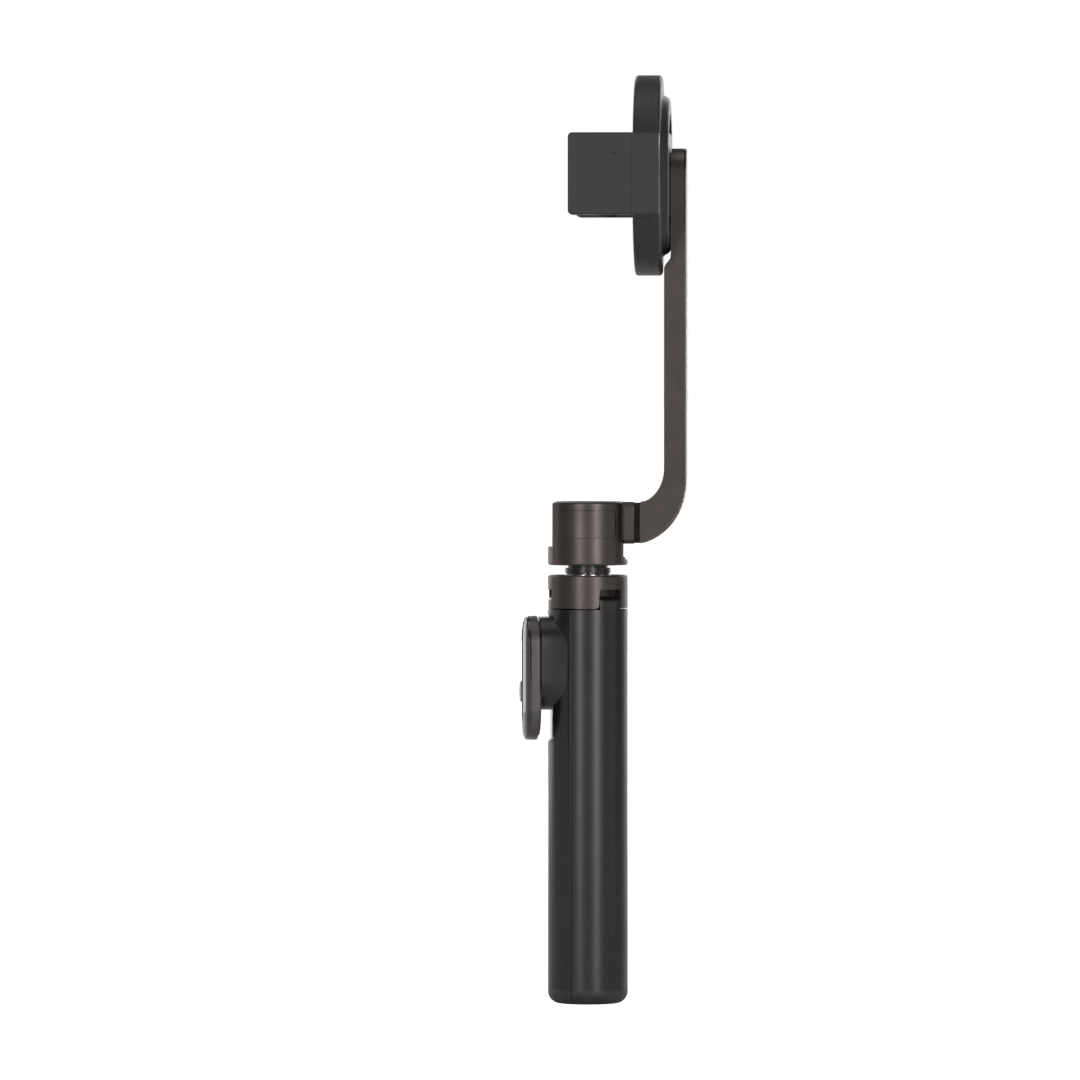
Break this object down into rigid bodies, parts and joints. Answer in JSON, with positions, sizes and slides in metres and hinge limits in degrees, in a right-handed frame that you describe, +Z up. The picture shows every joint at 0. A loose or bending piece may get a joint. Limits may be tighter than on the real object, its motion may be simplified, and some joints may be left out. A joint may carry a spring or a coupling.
{
  "type": "gimbal stabilizer",
  "caption": "Hand-held one-axis phone stabilizer: folding tripod handle, telescopic pole, tilting arm and rolling ring holder with self-centring jaws, and a detachable remote.",
  "frame": {"origin": "centre of the closed feet's flat end, on the handle's axis", "axes": "+Z up the handle and pole, -X the way the holder's face looks, so the arm rises on the +X side; Y is across the clamp"},
  "size_m": [0.063, 0.095, 0.3478],
  "materials": {
    "leg_satin": "satin black anodised",
    "bronze": "satin dark bronze anodised",
    "foot_rubber": "matte",
    "holder_plastic": "fine matte",
    "face_satin": "satin",
    "pad_rubber": "matte",
    "remote_plastic": "satin",
    "pole_steel": "brushed",
    "bush_plastic": "matte",
    "hardware": "machined",
    "electronics": "board",
    "cell": "foil",
    "copper_core": "wound core"
  },
  "bodies": {
    "hub": {"hub_collar": "bronze", "leg_hinge_pins": "hardware", "pole_mouth_ring": "pole_steel", "pole_tube_1": "pole_steel", "pole_end_plug": "bush_plastic"},
    "leg_remote": {"leg_remote": "leg_satin", "foot_remote": "foot_rubber", "remote_cradle": "remote_plastic"},
    "leg_near": {"leg_near": "leg_satin", "foot_near": "foot_rubber"},
    "leg_far": {"leg_far": "leg_satin", "foot_far": "foot_rubber"},
    "remote": {"remote_back": "remote_plastic", "remote_face": "remote_plastic", "remote_board": "electronics", "remote_cell": "cell"},
    "shutter": {"shutter_button": "remote_plastic"},
    "stage_2": {"pole_tube_2": "pole_steel", "pole_bush_2": "bush_plastic"},
    "stage_3": {"pole_tube_3": "pole_steel", "pole_bush_3": "bush_plastic"},
    "stage_4": {"pole_tube_4": "pole_steel", "pole_bush_4": "bush_plastic"},
    "stage_5": {"pole_tube_5": "pole_steel", "pole_bush_5": "bush_plastic", "neck_socket": "bronze", "pan_retainer": "hardware", "pan_screw": "hardware"},
    "head": {"head_clevis": "bronze", "hinge_cap_near": "bronze", "hinge_cap_far": "bronze", "tilt_pin": "hardware", "tilt_nut": "hardware", "tilt_washers": "bush_plastic"},
    "arm": {"arm_knuckle": "bronze", "arm_frame": "bronze", "arm_cover": "bronze", "battery": "cell", "control_board": "electronics", "usb_port": "hardware", "motor_stator": "copper_core", "motor_bearing": "hardware", "arm_screws": "hardware"},
    "power": {"power_button": "bronze"},
    "holder": {"ring_housing": "holder_plastic", "face_ring": "face_satin", "ring_back": "holder_plastic", "gear_plate": "holder_plastic", "pinion_pin": "hardware", "clamp_spring": "hardware", "motor_rotor": "hardware", "motor_shaft": "hardware", "holder_screws": "hardware"},
    "jaw_near": {"jaw_near": "holder_plastic", "jaw_near_rack": "holder_plastic", "jaw_near_pad": "pad_rubber"},
    "jaw_far": {"jaw_far": "holder_plastic", "jaw_far_rack": "holder_plastic", "jaw_far_pad": "pad_rubber"},
    "pinion": {"clamp_pinion": "holder_plastic"}
  },
  "joints": [
    {"name": "leg_remote_fold", "type": "hinge", "parent": "hub", "child": "leg_remote", "pos_m": [-0.01228, -0.00173, 0.1502], "axis": [-0.1392, 0.9903, 0], "range_deg": [0, 35]},
    {"name": "leg_near_fold", "type": "hinge", "parent": "hub", "child": "leg_near", "pos_m": [0.00763, -0.00977, 0.1502], "axis": [-0.788, -0.6157, 0], "range_deg": [0, 35]},
    {"name": "leg_far_fold", "type": "hinge", "parent": "hub", "child": "leg_far", "pos_m": [0.00465, 0.0115, 0.1502], "axis": [0.9272, -0.3746, 0], "range_deg": [0, 35]},
    {"name": "remote_pull", "type": "slide", "parent": "leg_remote", "child": "remote", "axis": [-0.9903, -0.1392, 0], "range_m": [0, 0.015]},
    {"name": "shutter_press", "type": "slide", "parent": "remote", "child": "shutter", "axis": [0.9903, 0.1392, 0], "range_m": [0, 0.0004], "stiffness_N_per_m": 800, "springref_m": -0.0006},
    {"name": "pole_slide_2", "type": "slide", "parent": "hub", "child": "stage_2", "axis": [0, 0, 1], "range_m": [0, 0.104]},
    {"name": "pole_slide_3", "type": "slide", "parent": "stage_2", "child": "stage_3", "axis": [0, 0, 1], "range_m": [0, 0.104]},
    {"name": "pole_slide_4", "type": "slide", "parent": "stage_3", "child": "stage_4", "axis": [0, 0, 1], "range_m": [0, 0.104]},
    {"name": "pole_slide_5", "type": "slide", "parent": "stage_4", "child": "stage_5", "axis": [0, 0, 1], "range_m": [0, 0.104]},
    {"name": "pan", "type": "hinge", "parent": "stage_5", "child": "head", "pos_m": [0, 0, 0.166], "axis": [0, 0, 1], "range_deg": [-160, 160]},
    {"name": "tilt", "type": "hinge", "parent": "head", "child": "arm", "pos_m": [0, 0, 0.1802], "axis": [0, -1, 0], "range_deg": [-18, 141]},
    {"name": "power_press", "type": "slide", "parent": "arm", "child": "power", "axis": [0, -1, 0], "range_m": [0, 0.0004], "stiffness_N_per_m": 800, "springref_m": -0.0006},
    {"name": "roll", "type": "hinge", "parent": "arm", "child": "holder", "pos_m": [0.026, 0, 0.3103], "axis": [1, 0, 0], "range_deg": [-160, 160]},
    {"name": "jaw_open", "type": "slide", "parent": "holder", "child": "jaw_near", "axis": [0, -1, 0], "range_m": [0, 0.0095], "stiffness_N_per_m": 400, "springref_m": -0.01},
    {"name": "jaw_follow", "type": "slide", "parent": "holder", "child": "jaw_far", "axis": [0, 1, 0], "range_m": [0, 0.0095]},
    {"name": "pinion_turn", "type": "hinge", "parent": "holder", "child": "pinion", "pos_m": [0.0223, 0, 0.3103], "axis": [-1, 0, 0], "range_deg": [0, 114]}
  ],
  "couplings": [
    {"joint": "jaw_follow", "follows": "jaw_open", "ratio": 1},
    {"joint": "pinion_turn", "follows": "jaw_open", "rad_per_m": 208.33}
  ]
}
